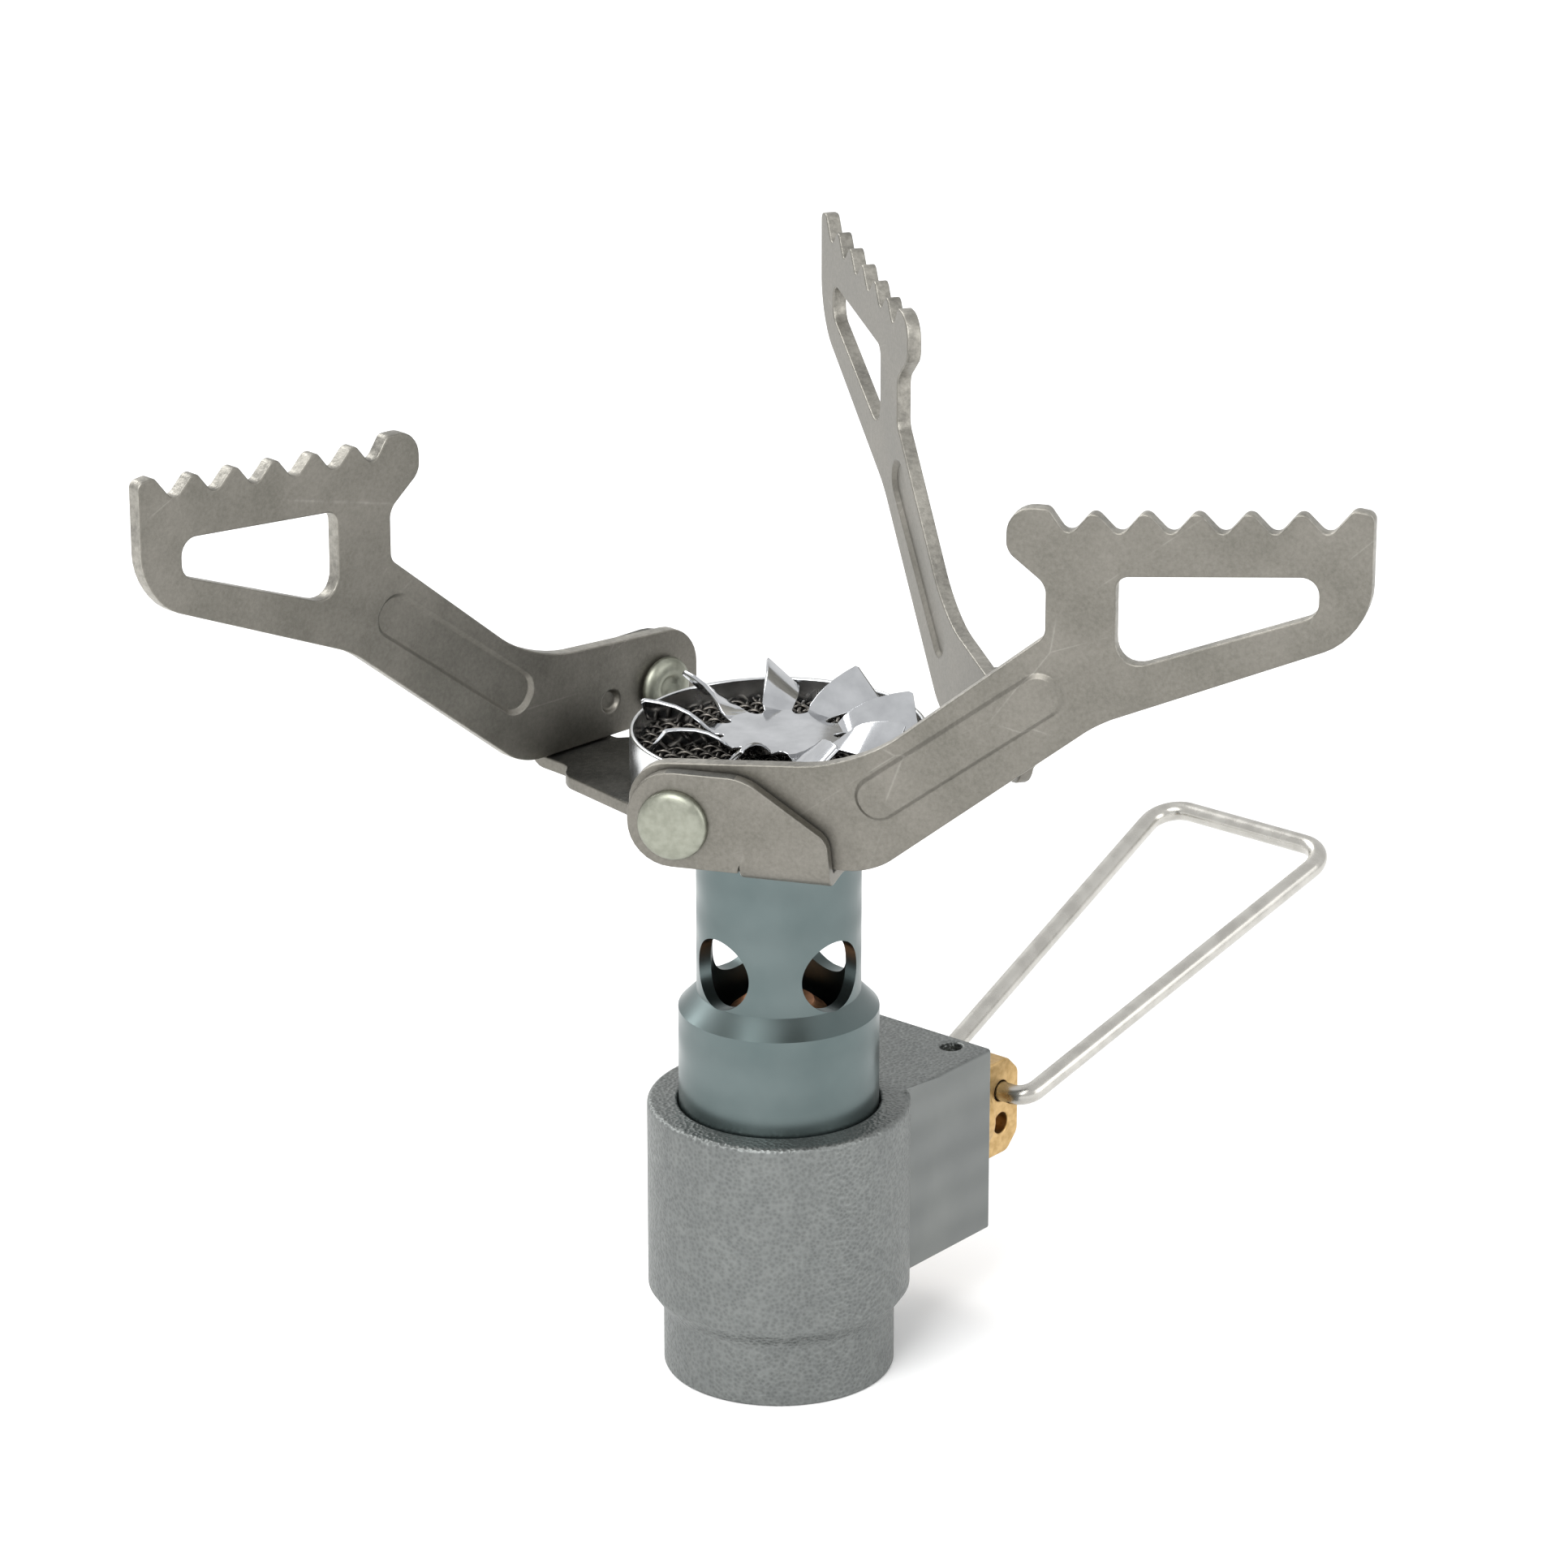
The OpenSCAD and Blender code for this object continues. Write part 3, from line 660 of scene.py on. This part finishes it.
finish_piece("drawn_burner_cup", turned_shape(section, 128), "stove", [drawn], "burner_cup")

# %% [markdown]
# ## Burner mesh
# Wire cloth: straight warp wires and weft wires that pass over and under each other. Each
# wire is a curve on a sine wave with a round section, cut to the chord of the disc, and warp
# and weft are half a wave apart. A thin dark disc under the cloth stands for the finer cloth
# layers below, so that no light comes through.

# %% Wire cloth
mesh_low, mesh_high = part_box("burner_mesh")
cloth_r = mesh_high[0] / mm - 0.1
cloth_wire = 0.15
cloth_pitch = 0.8
cloth_z = mesh_high[2] / mm - 2 * cloth_wire


def wire_mesh(name, paths, radius_mm, sides):
    """Round wires along lists of points in mm, as one mesh."""
    curve = bpy.data.curves.new(name, "CURVE")
    curve.dimensions = "3D"
    curve.bevel_depth = radius_mm * mm
    curve.bevel_resolution = sides
    curve.use_fill_caps = True
    for path in paths:
        spline = curve.splines.new("POLY")
        spline.points.add(len(path) - 1)
        for point, place in zip(spline.points, path):
            point.co = (*(c * mm for c in place), 1)
    holder = bpy.data.objects.new(name, curve)
    bpy.context.collection.objects.link(holder)
    bpy.context.view_layer.update()
    depsgraph = bpy.context.evaluated_depsgraph_get()
    mesh = bpy.data.meshes.new_from_object(holder.evaluated_get(depsgraph))
    bpy.data.objects.remove(holder)
    bm = bmesh.new()
    bm.from_mesh(mesh)
    bmesh.ops.remove_doubles(bm, verts=bm.verts, dist=0.001 * mm)
    return bm


def cloth_paths():
    """Warp and weft of a round piece of plain weave."""
    rows = int(cloth_r / cloth_pitch)
    paths = []
    for turn in (0, 1):
        for row in range(-rows, rows + 1):
            offset = row * cloth_pitch
            half = math.sqrt(cloth_r ** 2 - offset ** 2)
            count = max(4, int(half / cloth_pitch * 8))
            path = []
            for i in range(count + 1):
                along = -half + 2 * half * i / count
                wave = math.cos(math.pi * (along / cloth_pitch + row + turn))
                height = cloth_z + cloth_wire * wave
                path.append((along, offset, height) if turn == 0 else (offset, along, height))
            paths.append(path)
    return paths


bm = wire_mesh("cloth", cloth_paths(), cloth_wire, 1)
bmesh.ops.rotate(bm, verts=bm.verts, cent=(0, 0, 0), matrix=Matrix.Rotation(0.5, 3, "Z"))
finish_piece("woven_burner_mesh", bm, "stove", [burnt_wire], "burner_mesh")

backing_top = cloth_z - 2 * cloth_wire
backing = turned_shape([(0, backing_top), (cloth_r, backing_top), (cloth_r, mesh_low[2] / mm),
                        (0, mesh_low[2] / mm)], 64)
finish_piece("fine_cloth_backing", backing, "stove", [rubber], "burner_mesh")

# %% [markdown]
# ## Flame spreader
# The spreader is a polished disc, slit between its blades and punched with a small relief
# hole at the foot of each slit. Each blade is then twisted up like a fan's. The hub is a flat
# loop with rounded notches. Each blade grows out of its neck edge, one extrude at a time,
# while its raised side lifts and widens, and the whole sheet gets its thickness at the end.

# %% Spreader
blade_count = 9
hub_z = 49.9
spreader_t = 0.3
neck_r = 4.5
neck_half = 1.02
notch_r = 3.75
blade_steps = [(5.0, -1.1, 2.3, 12), (5.6, -1.2, 2.45, 24), (6.4, -1.35, 2.7, 34),
               (7.4, -1.5, 2.95, 40), (8.6, -1.6, 3.15, 43), (9.7, -1.65, 3.25, 44),
               (10.05, -1.45, 2.95, 44)]

bm = bmesh.new()
corners = []
for i in range(blade_count):
    turn = Matrix.Rotation(2 * math.pi * i / blade_count, 3, "Z")
    half_step = Matrix.Rotation(math.pi / blade_count, 3, "Z")
    for y in (-neck_half, neck_half):
        corners.append((*(turn @ Vector((neck_r, y, 0))).xy, 0))
    corners.append((*(turn @ half_step @ Vector((notch_r, 0, 0))).xy, 0.42))
loop, points = rounded_outline(bm, corners)
bmesh.ops.edgeloop_fill(bm, edges=loop)
bmesh.ops.translate(bm, verts=bm.verts, vec=(0, 0, hub_z * mm))
for i in range(blade_count):
    turn = Matrix.Rotation(2 * math.pi * i / blade_count, 3, "Z")
    edge = bm.edges.get((points[3 * i], points[3 * i + 1]))
    for radius, low_side, width, tilt in blade_steps:
        grown = bmesh.ops.extrude_edge_only(bm, edges=[edge])["geom"]
        ends = [item for item in grown if isinstance(item, bmesh.types.BMVert)]
        ends.sort(key=lambda vert: (turn.transposed() @ vert.co).y)
        angle = math.radians(tilt)
        rise = Vector((0, width * math.cos(angle), width * math.sin(angle)))
        foot_point = Vector((radius, low_side, hub_z))
        ends[0].co = turn @ foot_point * mm
        ends[1].co = turn @ (foot_point + rise) * mm
        edge = bm.edges.get(ends)
bmesh.ops.recalc_face_normals(bm, faces=bm.faces)
if sum(face.normal.z for face in bm.faces) < 0:
    bmesh.ops.reverse_faces(bm, faces=bm.faces)
bmesh.ops.solidify(bm, geom=list(bm.faces), thickness=spreader_t * mm)
finish_piece("twisted_flame_spreader", bm, "stove", [mirror], "flame_spreader", 0.07)

# %% [markdown]
# ## Wire handle
# One length of hard-drawn wire, bent at four corners, with its two ends sprung into the
# spindle's upper hole. The path is drawn flat with an arc in each corner, given a round
# section as a curve, made a mesh, and laid at its angle in the pivot's place.

# %% Handle
wire_r = 0.77
pivot = Vector(joints["handle_fold"]["pos_m"])
handle_rise = math.radians(17)


def bent_path(corners, steps=10):
    """Points in mm along straight runs through (x, y, radius) corners, with arcs between."""
    path = []
    for i, (x, y, radius) in enumerate(corners):
        here = Vector((x, y))
        if not radius:
            path.append((x, y, 0))
            continue
        back = (Vector(corners[i - 1][:2]) - here).normalized()
        ahead = (Vector(corners[i + 1][:2]) - here).normalized()
        half = back.angle(ahead) / 2
        centre = here + (back + ahead).normalized() * radius / math.sin(half)
        start = here + back * radius / math.tan(half) - centre
        sweep = math.copysign(math.pi - 2 * half, -back.cross(ahead))
        for k in range(steps + 1):
            spoke = Matrix.Rotation(sweep * k / steps, 2) @ start
            path.append((*(centre + spoke), 0))
    return path


handle_corners = [(0, -0.3, 0), (0, -4.5, 1.5), (36.6, -8.3, 2.4), (36.6, 8.3, 2.4),
                  (0, 4.5, 1.5), (0, 0.3, 0)]
bm = wire_mesh("wire", [bent_path(handle_corners)], wire_r, 8)
bm.transform(Matrix.Translation(pivot) @ Matrix.Rotation(-handle_rise, 4, "Y"))
finish_piece("bent_wire_handle", bm, "handle", [wire_steel], "wire_handle")

# %% [markdown]
# ## Pieces that keep their CAD mesh
# The tube, jet, gasket, seals, filter and retaining pin keep their CAD meshes, which are right
# already, and only get their finish. A CAD node shows its material slots, so each slot is filled.

# %% Finishes for the kept nodes
for node, material in (("burner_tube", turned), ("jet", jet_brass),
                       ("canister_gasket", rubber), ("spindle_seal_inner", rubber),
                       ("spindle_seal_outer", rubber), ("inlet_filter", wire_steel),
                       ("retaining_pin", rivet_steel)):
    mesh = frame["nodes"][node].data
    mesh.materials.clear()
    mesh.materials.append(material)
    print(node, "is", material.name)

# %% [markdown]
# ## Floor
# A plain pale sheet that the stove stands on. It is wide enough to fill the view, so no
# horizon shows, and it is only a stage, not part of the object.

# %% Floor
bm = bmesh.new()
bmesh.ops.create_grid(bm, x_segments=1, y_segments=1, size=6)
mesh = bpy.data.meshes.new("floor")
bm.to_mesh(mesh)
bm.free()
floor = bpy.data.objects.new("floor", mesh)
bpy.context.collection.objects.link(floor)
paper, tree, shader, place = metal("white_paper", 0.9, "#f7f7f7")
shader.inputs["Metallic"].default_value = 0
mesh.materials.append(paper)

bpy.context.view_layer.update()
